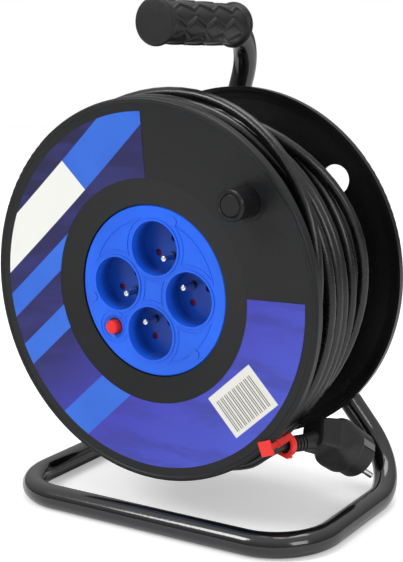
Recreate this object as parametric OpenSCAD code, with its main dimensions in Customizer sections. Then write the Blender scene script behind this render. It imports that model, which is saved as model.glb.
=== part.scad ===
// Cable reel with a tube frame, four earthed outlets and 50 m of rubber cable.
// Every part of the drum is drawn in the face frame: x to the right, y up and
// z out of the drum's face, with the axle along z.  The reel stands on z = 0.

/* [Drum] */
// Radius of both flanges
flange_r = 145; // [120:1:150]
// From the front rim's edge to the rear rim's edge
drum_w = 136; // [110:1:150]
// Wall of the flanges
flange_t = 3; // [2:0.1:4]
// How far the rim turns back behind its edge
rim_lip = 6; // [3:0.5:9]
// Radius of the round bead on the rim
bead_r = 2.3; // [2:0.1:3]
// How far the shallow cone that carries the label ends inside the rim
cone_inset = 10.2; // [9:0.1:24]
// Radius where the face turns down to the outlet plate
dish_r = 85; // [76:1:100]
// Depth of the face at that radius
dish_drop = 4; // [2:0.5:6]
// Outer radius of the winding barrel
barrel_r = 72.5; // [70:0.5:74]
// Wall of the barrel
barrel_t = 3; // [2:0.1:4]
// Turn of the drum at rest, in degrees
drum_turn = -5.5; // [-20:0.5:20]

/* [Outlet plate] */
// Radius of the outlet plate
plate_r = 65.4; // [62:0.1:67]
// Thickness of the outlet plate
plate_t = 4; // [3:0.1:5]
// Depth of the plate's face behind the front rim
plate_drop = 8; // [6.5:0.1:10]
// Distance of each outlet from the middle
outlet_ring = 33; // [32.5:0.1:34]
// Radius of an outlet's recess
well_r = 20.6; // [19.5:0.1:21]
// Depth of an outlet's recess
well_depth = 15.5; // [14:0.5:18]
// Wall of an outlet's recess
well_t = 1.7; // [1.2:0.1:2]
// Thickness of a recess's floor
floor_t = 2.5; // [2:0.1:3.5]
// Distance between the two contact holes of an outlet
contact_gap = 19; // [18:0.5:20]
// Radius of a contact hole
contact_r = 2.75; // [2.5:0.05:3]
// Distance of the earth pin from the outlet's middle
earth_offset = 10; // [9.5:0.1:11]
// Radius of the earth pin above the floor of the recess
earth_r = 2.4; // [2:0.1:2.6]
// Radius of the earth pin below it
earth_shank_r = 2; // [1.6:0.1:2.2]
// Length of the earth pin above the floor
earth_len = 14; // [10:0.5:15]
// Distance of the reset button from the middle
button_ring = 49; // [48:0.5:51]
// Radius of the reset button
button_r = 5.4; // [4:0.1:5.6]
// Height of the reset button above the plate
button_h = 4.5; // [3:0.1:6]
// Distance of the plate's screws from the middle
plate_screw_ring = 57.5; // [57:0.1:58]

/* [Crank knob] */
// Distance of the knob from the middle
knob_ring = 115; // [105:1:120]
// Radius of the knob
knob_r = 11.6; // [10:0.1:13]
// Length of the knob
knob_len = 22; // [18:0.5:24]
// Radius of the peg that the knob turns on
peg_r = 4.5; // [4:0.1:5]
// Radius of the hole in the rear flange opposite the knob
hand_hole_r = 12; // [8:0.5:14]

/* [Frame] */
// Radius of the frame tube
tube_r = 9.5; // [8:0.5:11]
// Wall of the frame tube
tube_t = 1.5; // [1:0.1:2.5]
// Height of the axle above the floor
axle_z = 182; // [175:1:195]
// Half the distance between the two side rails
rail_x = 136; // [130:1:150]
// How far the front rail lies in front of the front rim
rail_ahead = 13.5; // [12:0.5:30]
// Gap between the rear rim and the upright tube
tube_gap = 10.5; // [9:0.5:14]
// Bend radius of the two front corners
front_bend = 46; // [30:1:60]
// Bend radius of the two rear corners
rear_bend = 50; // [40:1:60]
// Bend radius above the hub
neck_bend = 80; // [50:1:90]
// Bend radius below the grip
top_bend = 42; // [36:1:46]
// Height of the tube's axis at the top bend
grip_z = 374; // [368:1:390]
// How far the upright leans to the side above the hub
neck_x = 40; // [34:1:44]
// Height of the bend above the hub
neck_z = 234; // [228:1:244]
// Rise of the grip over its length
grip_rise = 5.5; // [0:0.5:8]

/* [Grip] */
// Radius of the grip's body
grip_r = 15.6; // [14:0.1:17]
// Radius of the grip's two end flanges
grip_flange_r = 18; // [16:0.1:19]
// Length of the grip
grip_len = 110; // [90:1:120]
// Distance of the grip's free end behind the front rim
grip_start = 22; // [15:1:30]
// Height of the diamond ribs
grip_rib = 0.9; // [0.4:0.1:1.4]

/* [Hub] */
// Radius of the axle bolt
bolt_r = 5; // [4:0.5:6]
// Radius of the sleeve that the drum turns on
sleeve_r = 8; // [7:0.5:9]
// Radius of the hub plate
hub_plate_r = 30; // [24:1:36]
// Thickness of the hub plate
hub_plate_t = 8; // [6:0.5:9]
// Distance of the hub web behind the middle of the drum
hub_web = 44; // [38:1:48]
// Running clearance of the shafts
run = 0.05; // [0.02:0.01:0.09]

/* [Cable] */
// Diameter of the cable
cable_d = 8.5; // [7:0.1:9]
// Radius of the lower of the two outer winds, at the cable's middle
wind_r = 124; // [115:1:126]
// Turns of the lower outer wind
wind_turns = 12; // [8:1:12]
// Turns of the loose wind that crosses back over it
cross_turns = 8; // [4:1:9]
// How far the loose wind bulges on top of the drum
wind_swell = 5; // [0:0.5:6]

/* [Plug] */
// Radius of the plug's round face
plug_r = 18.5; // [17:0.1:19]
// Depth of the part of the plug that enters an outlet
plug_nose = 16; // [14:0.5:18]
// Depth of the plug from its face to the entry of the cable
plug_len = 55.4; // [48:0.1:60]
// Radius of a plug pin
pin_r = 2.4; // [2.3:0.05:2.5]
// Length of a plug pin
pin_len = 19; // [18:0.5:20]
// Radius of the strain relief's ribs
relief_r = 6.2; // [5.6:0.1:6.5]

/* [Hidden] */
$fn = 96;
eps = 0.01;
seat = 0.3;
cone_r = flange_r - cone_inset;

// Directions and points
function unit(v) = v / norm(v);
function polar(r, a) = [r * cos(a), r * sin(a)];
function flatten(l) = [for (a = l) for (b = a) b];

// Depth of the reel, which is centred on y = 0
bolt_head = 6.4;
rear_washer = 2;
reach_front = rail_ahead + tube_r;
tube_y = drum_w + tube_gap + tube_r;
reach_rear = tube_y + tube_r + rear_washer + bolt_head;
face_y = (reach_front - reach_rear) / 2;
upright_y = face_y + tube_y;
front_rail_y = face_y - rail_ahead;

// Places an object of the face frame on the reel
module face() {
    translate([0, face_y, axle_z]) rotate([90, 0, 0]) rotate([0, 0, drum_turn]) children();
}
// The same without the drum's turn, for what stands still on the axle
module axle() {
    translate([0, face_y, axle_z]) rotate([90, 0, 0]) children();
}
// A ring round the axle between two depths
module ring(r_out, r_in, z0, z1) {
    translate([0, 0, z0]) difference() {
        cylinder(r = r_out, h = z1 - z0);
        translate([0, 0, -1]) cylinder(r = r_in, h = z1 - z0 + 2);
    }
}

// ---- frame tube -----------------------------------------------------------
// The tube's corners, from the free end in the grip to its end on the hub
grip_y = face_y + grip_start;
grip_end = 6;
frame_corners = [
    [0, grip_y + grip_end, grip_z + grip_rise],
    [0, upright_y + 6.5, grip_z],
    [-neck_x, upright_y, neck_z],
    [rail_x, upright_y, tube_r],
    [rail_x, front_rail_y, tube_r],
    [-rail_x, front_rail_y, tube_r],
    [-rail_x, upright_y, tube_r],
    [0, upright_y, axle_z]];
frame_bends = [top_bend, neck_bend, rear_bend, front_bend, front_bend, rear_bend];

// Length that a bend takes off the legs on each side of a corner
function bend_cut(a, b, c, r) =
    let (u = unit(a - b), v = unit(c - b), t = acos(u * v)) r / tan(t / 2);

// A straight run of tube from a to b
module run_of_tube(a, b, r_out, r_in) {
    d = b - a;
    translate(a) rotate([0, acos(d[2] / norm(d)), atan2(d[1], d[0])]) difference() {
        cylinder(r = r_out, h = norm(d));
        if (r_in > 0) translate([0, 0, -1]) cylinder(r = r_in, h = norm(d) + 2);
    }
}
// A bend at corner b between the legs to a and c
module bend_of_tube(a, b, c, r, r_out, r_in) {
    u = unit(a - b);
    v = unit(c - b);
    t = acos(u * v);
    n = unit(cross(v, u));
    m = unit(u + v);
    w = cross(n, m);
    centre = b + m * r / sin(t / 2);
    multmatrix([[m[0], w[0], n[0], centre[0]], [m[1], w[1], n[1], centre[1]],
        [m[2], w[2], n[2], centre[2]], [0, 0, 0, 1]])
        rotate([0, 0, 90 + t / 2]) rotate_extrude(angle = 180 - t) translate([r, 0]) difference() {
            circle(r = r_out, $fn = 48);
            if (r_in > 0) circle(r = r_in, $fn = 48);
        }
}
// The tube swells a hair where it is bent, and its last end is drawn down to
// a spigot that is welded to the side of the upright
bend_swell = 0.3;
bend_lap = 0.5;
spigot_len = 16;
spigot_r = tube_r - 0.3;
module frame_path(r, last_cut) {
    n = len(frame_corners);
    cuts = [for (i = [0:n - 1]) i == 0 ? 0 : i == n - 1 ? last_cut
        : bend_cut(frame_corners[i - 1], frame_corners[i], frame_corners[i + 1], frame_bends[i - 1]) - bend_lap];
    for (i = [0:n - 2]) {
        a = frame_corners[i];
        b = frame_corners[i + 1];
        run_of_tube(a + unit(b - a) * cuts[i], b - unit(b - a) * cuts[i + 1], r, 0);
    }
    for (i = [1:n - 2])
        bend_of_tube(frame_corners[i - 1], frame_corners[i], frame_corners[i + 1],
            frame_bends[i - 1], r + bend_swell, 0);
}
module frame_tube() {
    end = frame_corners[len(frame_corners) - 1];
    leg = unit(end - frame_corners[len(frame_corners) - 2]);
    color("#17181a") difference() {
        union() {
            frame_path(tube_r, spigot_len);
            run_of_tube(end - leg * (spigot_len + 6), end, spigot_r, 0);
        }
        frame_path(tube_r - tube_t, spigot_len - 3);
        axle() translate([0, 0, -tube_y - tube_r - 1]) cylinder(r = bolt_r + 0.2, h = 2 * tube_r + 2);
    }
}

// ---- grip -----------------------------------------------------------------
grip_axis = unit(frame_corners[1] - frame_corners[0]);
module on_grip() {
    translate(frame_corners[0] - grip_end * grip_axis)
        rotate([-90 + atan2(grip_axis[2], grip_axis[1]), 0, 0]) children();
}
// Wavy ribs that leave diamond fields between them
module grip_ribs() {
    rows = 8;
    step = (grip_len - 16) / 4;
    for (k = [0:rows - 1], j = [0:3], s = [-1, 1])
        rotate([0, 0, 360 / rows * (k + 0.25 * s)])
            translate([grip_r - 0.4, 0, 8 + step * (j + 0.5 - 0.25 * (s * (k % 2 == 0 ? 1 : -1) > 0 ? -1 : 1))])
                rotate([s * (k % 2 == 0 ? 1 : -1) * 26, 0, 0])
                    translate([0, -0.6, -step * 0.28]) cube([grip_rib + 0.4, 1.2, step * 0.56]);
}
module hand_grip() {
    color("#2b2d2f") difference() {
        on_grip() union() {
            rotate_extrude() polygon([[0, 0], [grip_flange_r - 1, 0], [grip_flange_r, 1],
                [grip_flange_r, 3.2], [grip_flange_r - 1, 4.4], [grip_r + 0.4, 5.2], [grip_r - 0.6, 8],
                [grip_r, 30], [grip_r + 0.2, grip_len / 2], [grip_r, grip_len - 30],
                [grip_r - 0.6, grip_len - 8], [grip_r + 0.4, grip_len - 5.2],
                [grip_flange_r - 1, grip_len - 4.4], [grip_flange_r, grip_len - 3.2],
                [grip_flange_r, grip_len - 1], [grip_flange_r - 1, grip_len], [0, grip_len]]);
            grip_ribs();
        }
        frame_path(tube_r + run, 0);
    }
}

// ---- hub ------------------------------------------------------------------
mid_z = -drum_w / 2;
web_z = mid_z - hub_web;
hub_back_z = -drum_w - 5;
bush_t = 3;
washer_t = 1.5;
nut_h = 8;
sleeve_front = web_z + 14;
sleeve_back = hub_back_z - washer_t - seat;
plate_front = sleeve_back;
module hub_plate() {
    color("#202123") difference() {
        axle() ring(hub_plate_r, bolt_r + 0.2, plate_front - hub_plate_t, plate_front);
        frame_path(tube_r + 0.05, 0);
    }
}
module axle_bolt() {
    color("#9a9c9e") axle() {
        z0 = -tube_y - tube_r - rear_washer;
        translate([0, 0, z0 - bolt_head]) cylinder(r = 9.5, h = bolt_head, $fn = 6);
        translate([0, 0, z0]) cylinder(r = bolt_r, h = sleeve_front + washer_t + nut_h + 3 - z0);
        ring(12, bolt_r, z0, z0 + rear_washer);
    }
}
module axle_nut() {
    color("#9a9c9e") axle() difference() {
        translate([0, 0, sleeve_front + washer_t]) cylinder(r = 9.5, h = nut_h, $fn = 6);
        translate([0, 0, sleeve_front]) cylinder(r = bolt_r, h = nut_h + 4);
    }
}
module axle_sleeve() {
    color("#85878a") axle() ring(sleeve_r, bolt_r + run, sleeve_back, sleeve_front);
}
module thrust_washers() {
    color("#aeb0b2") axle() {
        ring(15, sleeve_r + 0.1, hub_back_z - washer_t, hub_back_z - 0.15);
        ring(15, bolt_r + run, sleeve_front, sleeve_front + washer_t);
    }
}
module hub_bush() {
    color("#d8d4c8") face() union() {
        ring(sleeve_r + run + bush_t, sleeve_r + run, hub_back_z, sleeve_front - 0.15);
    }
}

// ---- flanges --------------------------------------------------------------
recess_r = plate_r + 0.4;
ledge_z = -plate_drop - plate_t;
ledge_r = outlet_ring + well_r + well_t + 1.9;
barrel_in = barrel_r - barrel_t;
spigot = 8;
screw_angles = [75, 195, 315];
plate_screw_angles = [75, 195, 315];
barrel_screw_ring = barrel_in - 4;

// Height of the label cone at radius r
function cone_z(r) = -dish_drop * (cone_r - r) / (cone_r - dish_r);
mouth_z = -plate_drop + 0.8;

// Half section of a flange: its rim, cone and dish, from the mouth outwards
module flange_section(mouth) {
    bead_x = flange_r - bead_r;
    translate([bead_x, -bead_r / 3]) circle(r = bead_r, $fn = 64);
    translate([flange_r - flange_t, -rim_lip]) square([flange_t, rim_lip - bead_r / 3]);
    polygon([[mouth, mouth_z], [dish_r, -dish_drop], [cone_r, 0], [bead_x - bead_r * 0.7, bead_r * 0.2],
        [bead_x, -flange_t], [cone_r, -flange_t], [dish_r, -dish_drop - flange_t],
        [mouth, mouth_z - flange_t]]);
}
module front_flange() {
    color("#323436") face() difference() {
        union() {
            rotate_extrude($fn = 180) flange_section(recess_r);
            ring(recess_r + 2.4, recess_r, ledge_z - 3, mouth_z - 1);
            ring(recess_r + 2.4, ledge_r, ledge_z - 3, ledge_z);
            rotate_extrude($fn = 180) polygon([[barrel_in, -plate_drop - 0.5], [barrel_r, -plate_drop - 0.5],
                [barrel_r, mid_z], [barrel_in, mid_z], [barrel_in, mid_z - spigot],
                [barrel_in - 2, mid_z - spigot], [barrel_in - 2, mid_z + spigot], [barrel_in, mid_z + spigot]]);
            ring(barrel_in + 1, recess_r + 2, ledge_z - 3, ledge_z);
            for (a = plate_screw_angles) translate([each polar(plate_screw_ring + 1, a), ledge_z - 14])
                cylinder(r = 4, h = 14, $fn = 32);
            for (a = screw_angles) rotate([0, 0, a + 30]) translate([barrel_screw_ring, 0, mid_z + 1])
                cylinder(r = 5, h = 29, $fn = 32);
            translate([each polar(knob_ring, 45), -flange_t])
                cylinder(r = knob_r + 2.6, h = flange_t + boss_z);
        }
        for (a = plate_screw_angles) translate([each polar(plate_screw_ring, a), ledge_z - 12])
            cylinder(r = 1.5, h = 20, $fn = 24);
        for (a = screw_angles) rotate([0, 0, a + 30]) translate([barrel_screw_ring, 0, mid_z - 1])
            cylinder(r = 1.8, h = 24, $fn = 24);
        translate([each polar(knob_ring, 45), -12]) cylinder(r = peg_r - 1 + run, h = 20);
        translate([0, 0, lead_z]) rotate([0, 90, 150]) cylinder(r = cable_d / 2 + 0.3, h = 100);
    }
}
module rear_flange() {
    color("#2a2b2d") face() difference() {
        union() {
            translate([0, 0, -drum_w]) mirror([0, 0, 1]) rotate_extrude($fn = 180) flange_section(barrel_in);
            ring(barrel_r, barrel_in, -drum_w + plate_drop + 0.5, mid_z - eps);
            ring(barrel_in + 1, 13, web_z - 1.5, web_z + 1.5);
            ring(barrel_in + 1, barrel_in - 4, -drum_w + plate_drop + 1, web_z);
            ring(sleeve_r + run + bush_t + 4, sleeve_r + run + bush_t, hub_back_z + 0.3, web_z + 12);
            for (a = [0:45:315]) rotate([0, 0, a + 22.5])
                translate([sleeve_r + bush_t + 3, -1.5, -drum_w + 6])
                    cube([barrel_in - sleeve_r - bush_t - 4, 3, web_z + drum_w - 6]);
            for (a = screw_angles) rotate([0, 0, a + 30]) translate([barrel_screw_ring, 0, -drum_w + 12])
                cylinder(r = 5, h = drum_w / 2 - 12 - eps, $fn = 32);
        }
        for (a = screw_angles) rotate([0, 0, a + 30]) translate([barrel_screw_ring, 0, -drum_w]) {
            cylinder(r = 2.2, h = drum_w / 2 + 1, $fn = 24);
            cylinder(r = 4.4, h = 12, $fn = 32);
        }
        translate([each polar(knob_ring, 45), -drum_w - 12]) cylinder(r = hand_hole_r, h = 24);
        ring(barrel_in + 0.15, barrel_in - 2.2, mid_z - spigot - 0.5, mid_z + 1);
    }
}
module barrel_screws() {
    color("#b0b2b4") face() for (a = screw_angles) rotate([0, 0, a + 30]) translate([barrel_screw_ring, 0, 0]) {
        translate([0, 0, -drum_w + 12 - 2.6]) cylinder(r = 4, h = 2.6, $fn = 32);
        translate([0, 0, -drum_w + 12]) cylinder(r = 1.8, h = drum_w / 2 + 10, $fn = 24);
    }
}

// ---- outlet plate ---------------------------------------------------------
well_floor = -plate_drop - well_depth;
well_back = well_floor - floor_t;
outlet_angles = [90, 180, 270, 0];
earth_angles = [-45, -45, 135, 135];
module at_outlet(k) {
    translate([each polar(outlet_ring, outlet_angles[k]), 0]) rotate([0, 0, earth_angles[k]]) children();
}
// Fields between the outlets, which raised lines run round
module field(edge) {
    difference() {
        circle(r = 55.5 - edge);
        for (a = outlet_angles) translate(polar(outlet_ring, a)) circle(r = well_r + 4.4 + edge);
        rotate([0, 0, 225]) translate([40, -30]) square([40, 60]);
    }
}
module socket_plate() {
    color("#2873ff") face() difference() {
        union() {
            translate([0, 0, -plate_drop - plate_t]) cylinder(r = plate_r, h = plate_t - 1);
            translate([0, 0, -plate_drop - 1]) cylinder(r1 = plate_r, r2 = plate_r - 1, h = 1);
            for (k = [0:3]) at_outlet(k) {
                translate([0, 0, well_back]) cylinder(r = well_r + well_t, h = -plate_drop - well_back);
                ring(well_r + 1.6, well_r - eps, -plate_drop - 1, -plate_drop + 0.8);
            }
            translate([0, 0, -plate_drop - 1]) linear_extrude(1.5) difference() {
                field(0);
                field(0.9);
            }
            for (r = [9.4, 12.2]) translate([each polar(button_ring, 225), 0])
                ring(r + 0.7, r, -plate_drop - 1, -plate_drop + 0.4);
        }
        for (k = [0:3]) at_outlet(k) {
            translate([0, 0, well_floor]) cylinder(r = well_r, h = well_depth + 2);
            for (s = [-1, 1]) translate([0, s * contact_gap / 2, well_back - 1])
                cylinder(r = contact_r, h = floor_t + 2, $fn = 32);
            translate([earth_offset, 0, well_back - 1]) cylinder(r = earth_shank_r + run, h = floor_t + 2, $fn = 32);
        }
        translate([each polar(button_ring, 225), 0]) {
            translate([0, 0, -plate_drop - plate_t - 1]) cylinder(r = button_r + 1.2, h = plate_t + 3);
            translate([0, 0, -plate_drop - 1.2]) cylinder(r1 = button_r + 1.2, r2 = button_r + 3.6, h = 1.2 + eps);
        }
        for (a = plate_screw_angles) translate([each polar(plate_screw_ring, a), -plate_drop - plate_t - 1]) {
            cylinder(r = 1.8, h = plate_t + 3, $fn = 24);
            translate([0, 0, 2.6]) cylinder(r = 3.7, h = 4, $fn = 32);
        }
    }
}
module plate_screws() {
    color("#b0b2b4") face() for (a = plate_screw_angles)
        translate([each polar(plate_screw_ring, a), ledge_z + 1.6]) {
            cylinder(r = 3.2, h = 1.4, $fn = 32);
            translate([0, 0, -12]) cylinder(r = 1.5, h = 12, $fn = 24);
        }
}
module screw_caps() {
    color("#2f79ff") face() for (a = plate_screw_angles)
        translate([each polar(plate_screw_ring, a), ledge_z + 3]) cylinder(r = 3.65, h = 1.6, $fn = 32);
}
// The earth pins stand on a collar on the floor, and a thinner shank runs down
// from there to the strap that joins them
collar_t = 1;
module earth_pins() {
    color("#d4d5d3") face() for (k = [0:3]) at_outlet(k) translate([earth_offset, 0, 0]) difference() {
        translate([0, 0, well_floor]) rotate_extrude($fn = 48) polygon([[0, strap_z - well_floor],
            [earth_shank_r, strap_z - well_floor], [earth_shank_r, 0], [earth_r + 1, 0], [earth_r + 1, collar_t],
            [earth_r, collar_t], [earth_r, earth_len - 1.2], [earth_r - 0.35, earth_len - 0.35],
            [earth_r - 1.2, earth_len], [0, earth_len]]);
        translate([0, 0, well_floor + earth_len - 0.8]) cylinder(r = 0.6, h = 2, $fn = 24);
    }
}

// ---- contacts, shutters and cut-out ---------------------------------------
shutter_w = 6.8;
shutter_l = 27;
shutter_t = 2;
shutter_travel = 6.4;
carrier_r = 54;
carrier_t = 15;
carrier_z = well_back - carrier_t;
strap_t = 1;
strap_z = carrier_z - strap_t;
bus_z = carrier_z - 4 - strap_t;
bus_w = 7;
earth_pin_hole = earth_shank_r + 0.02;
cutout_w = 15;
cutout_l = ledge_z - bus_z - strap_t;
module contact_carrier() {
    color("#e4e2da") face() difference() {
        union() {
            translate([0, 0, carrier_z]) cylinder(r = carrier_r, h = carrier_t);
            rotate([0, 0, 150]) for (s = [-1, 1]) translate([clamp_ring, s * clamp_screw_gap, lead_z + clamp_h / 2])
                cylinder(r = 3.2, h = carrier_z - lead_z - clamp_h / 2 + 1, $fn = 32);
        }
        rotate([0, 0, 150]) for (s = [-1, 1]) translate([clamp_ring, s * clamp_screw_gap, lead_z])
            cylinder(r = 1.6, h = clamp_h, $fn = 24);
        for (k = [0:3]) at_outlet(k) {
            translate([-shutter_w / 2 - shutter_travel - 0.2, -shutter_l / 2 - 0.2, well_back - shutter_t - 0.3])
                cube([shutter_w + shutter_travel + 0.5, shutter_l + 0.4, shutter_t + 1]);
            for (s = [-1, 1]) translate([-3.4, s * contact_gap / 2 - 3.4, carrier_z - 1]) cube([6.8, 6.8, carrier_t]);
            translate([earth_offset, 0, carrier_z - 1]) cylinder(r = earth_shank_r + 0.2, h = carrier_t + 2, $fn = 32);
        }
        rotate([0, 0, 225]) translate([button_ring - cutout_w / 2 - 0.4, -cutout_w / 2 - 0.4, carrier_z - 1])
            cube([40, cutout_w + 0.8, carrier_t + 2]);
        for (a = screw_angles) rotate([0, 0, a]) translate([plate_screw_ring + 1, 0, carrier_z - 1])
            cylinder(r = 5, h = carrier_t + 2, $fn = 32);
    }
}
module shutter(k) {
    color("#7a1c1c") face() at_outlet(k)
        translate([-shutter_w / 2, -shutter_l / 2, well_back - shutter_t - 0.1]) cube([shutter_w, shutter_l, shutter_t]);
}
module shutter_top() { shutter(0); }
module shutter_left() { shutter(1); }
module shutter_bottom() { shutter(2); }
module shutter_right() { shutter(3); }

// Middle of the contact of outlet k on side s
function contact_at(k, s) = polar(outlet_ring, outlet_angles[k])
    + polar(s * contact_gap / 2, earth_angles[k] + 90);
// Sprung sleeve that grips a plug pin
module tulip(p, z) {
    translate([p[0], p[1], z]) difference() {
        cylinder(r = 3.1, h = carrier_z + 11 - z, $fn = 32);
        translate([0, 0, strap_t + 1]) cylinder(r = pin_r - 0.1, h = 40, $fn = 32);
    }
}
// The outer contacts of all outlets hang on one ring, and the inner ones on another
module contact_set(outer) {
    points = [for (k = [0:3]) contact_at(k, (k % 2 == 0 ? 1 : -1) * (outer ? 1 : -1))];
    face() union() {
        for (p = points) tulip(p, bus_z);
        ring(norm(points[0]) + bus_w / 2, norm(points[0]) - bus_w / 2, bus_z, bus_z + strap_t);
    }
}
module live_contacts() { color("#c9a24a") contact_set(true); }
module neutral_contacts() { color("#c9a24a") contact_set(false); }
// A star that joins the earth pins
module earth_strap() {
    feet = [for (k = [0:3]) polar(outlet_ring, outlet_angles[k]) + polar(earth_offset, earth_angles[k])];
    color("#c9a24a") face() translate([0, 0, strap_z]) linear_extrude(strap_t) difference() {
        union() {
            circle(r = 6);
            for (p = feet) rotate([0, 0, atan2(p[1], p[0])]) translate([0, -bus_w / 2])
                square([norm(p) + earth_r + 1.5, bus_w]);
        }
        for (p = feet) translate(p) circle(r = earth_pin_hole);
    }
}
module thermal_cutout() {
    color("#3a3c3e") face() rotate([0, 0, 225]) translate([button_ring, 0, 0]) difference() {
        union() {
            translate([-cutout_w / 2, -cutout_w / 2, ledge_z - cutout_l]) cube([cutout_w, cutout_w, cutout_l]);
            translate([0, 0, ledge_z]) cylinder(r = button_r + 1, h = plate_t - 1.4);
        }
        translate([0, 0, ledge_z - 14]) cylinder(r = button_r + 0.1, h = 30);
    }
}
module reset_button() {
    color("#f0413c") face() translate([each polar(button_ring, 225), 0]) rotate_extrude()
        polygon([[0, ledge_z - 10], [button_r, ledge_z - 10], [button_r, -plate_drop + button_h - 1.4],
            [button_r - 0.5, -plate_drop + button_h - 0.5], [button_r - 1.6, -plate_drop + button_h],
            [0, -plate_drop + button_h + 0.2]]);
}

// ---- crank knob -----------------------------------------------------------
boss_z = cone_z(knob_ring) + 1.1;
knob_z = boss_z + seat;
peg_root = 5.4;
module at_knob() {
    face() translate([each polar(knob_ring, 45), 0]) children();
}
module crank_peg() {
    color("#2a2b2d") at_knob() rotate_extrude() polygon([[0, boss_z - peg_root], [peg_r - 1, boss_z - peg_root],
        [peg_r - 1, boss_z], [peg_r, boss_z], [peg_r, knob_z + knob_len - 4], [7.9, knob_z + knob_len - 4],
        [7.9, knob_z + knob_len - 1.2], [7.2, knob_z + knob_len - 0.7], [0, knob_z + knob_len - 0.7]]);
}
module peg_screw() {
    color("#b0b2b4") at_knob() translate([0, 0, boss_z - peg_root - 2]) cylinder(r = 7, h = 2);
}
module crank_knob() {
    color("#1f2022") at_knob() rotate_extrude() polygon([[peg_r + run, knob_z], [knob_r - 0.6, knob_z],
        [knob_r, knob_z + 0.8], [knob_r - 0.2, knob_z + knob_len - 1.2], [knob_r - 1, knob_z + knob_len],
        [knob_r - 2.4, knob_z + knob_len], [8.2, knob_z + knob_len - 1], [8.2, knob_z + knob_len - 4.3],
        [peg_r + run, knob_z + knob_len - 4.3]]);
}

// ---- label and cable clip -------------------------------------------------
label_t = 0.2;
label_start = 95.5;
label_end = 367.5;
module label() {
    color("#3f46b4") face() rotate([0, 0, label_start]) rotate_extrude(angle = label_end - label_start, $fn = 180)
        polygon([[dish_r + 0.5, cone_z(dish_r + 0.5)], [cone_r - 0.3, cone_z(cone_r - 0.3)],
            [cone_r - 0.3, cone_z(cone_r - 0.3) + label_t], [dish_r + 0.5, cone_z(dish_r + 0.5) + label_t]]);
}

// The strain relief's axis, from its thin end to the plug
relief_out = 4.7046;
relief_at = [113.04, -98.15];
relief_start = [each relief_at * (flange_r + relief_out) / norm(relief_at), -24.7];
relief_dir = unit([0.216, -0.139, -0.966]);
relief_len = 31.4;
relief_root = 8;
relief_ribs = 20;
relief_swell = 2;
relief_end = relief_start + relief_dir * relief_len;
clip_angle = -39.5;
clip_lean = -25.5;
clip_depth = 26;
module along(a, b) {
    d = b - a;
    translate(a) rotate([0, acos(d[2] / norm(d)), atan2(d[1], d[0])]) children();
}
module cable_clip() {
    front_z = bead_r * 2 / 3 + seat;
    lip_z = -rim_lip - seat;
    color("#f53b3b") face() difference() {
        union() {
            translate([each polar(flange_r + 0.5, clip_angle), front_z]) rotate([0, 0, clip_angle + clip_lean])
                translate([-5.5, -5, 0]) cube([11, 10, 2]);
            rotate([0, 0, clip_angle]) {
                translate([flange_r + seat, -5, lip_z - 2.4]) cube([3, 10, front_z - lip_z + 3.4]);
                translate([flange_r - 4, -5, lip_z - 2.4]) cube([7, 10, 2.4]);
                translate([flange_r + seat, 1.5, -clip_depth]) cube([4.4, 4, clip_depth + lip_z]);
            }
            along(relief_start, relief_end) union() {
                translate([0, 0, -2]) cylinder(r = relief_r + 2.2, h = 5);
                rotate([0, 0, 243]) translate([relief_r + 0.7, -5.5, -2]) cube([1.7, 11, 6]);
            }
        }
        along(relief_start, relief_end) translate([0, 0, -4]) {
            cylinder(r = relief_r + run, h = 15);
            translate([0, -4.4, 0]) cube([12, 8.8, 15]);
        }
    }
}

// ---- inner cable end ------------------------------------------------------
lead_z = carrier_z - 13;
clamp_ring = 49;
clamp_h = 14;
clamp_screw_gap = 10;
module cable_clamp() {
    color("#3a3c3e") face() rotate([0, 0, 150]) difference() {
        translate([clamp_ring - 5, -14, lead_z - clamp_h / 2]) cube([10, 28, clamp_h]);
        translate([clamp_ring - 9, 0, lead_z]) rotate([0, 90, 0]) cylinder(r = cable_d / 2 + run, h = 20);
        for (s = [-1, 1]) translate([clamp_ring, s * clamp_screw_gap, lead_z - clamp_h])
            cylinder(r = 1.6, h = 2 * clamp_h, $fn = 24);
    }
}
module clamp_screws() {
    color("#b0b2b4") face() rotate([0, 0, 150]) for (s = [-1, 1])
        translate([clamp_ring, s * clamp_screw_gap, lead_z - clamp_h / 2]) {
            translate([0, 0, -2]) cylinder(r = 3, h = 2, $fn = 32);
            cylinder(r = 1.55, h = clamp_h + 5, $fn = 24);
        }
}
module cable_inner_end() {
    color("#1c1d1f") face() rotate([0, 0, 150]) translate([28, 0, lead_z]) rotate([0, 90, 0])
        cylinder(r = cable_d / 2, h = barrel_r - 28);
}

// ---- wound cable ----------------------------------------------------------
wind_front = -flange_t - dish_drop - 3;
wind_back = -drum_w + flange_t + dish_drop + 3;
rings_per_turn = 24;
core_r = wind_r * cos(180 / rings_per_turn) - cable_d / 2 - seat;
module cable_core() {
    color("#1c1d1f") face() ring(core_r, barrel_r + 0.3, wind_back, wind_front);
}
wind_sides = 6;
first_y = wind_front - cable_d / 2 - 0.6;
last_y = wind_back + cable_d / 2 + 0.6;
cross_r = wind_r + cable_d + 1.2;
wind_end = -100;
wind_shift = cable_d + 0.7;
function ramp(t, t0, t1) = min(1, max(0, (t - t0) / (t1 - t0)));
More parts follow.
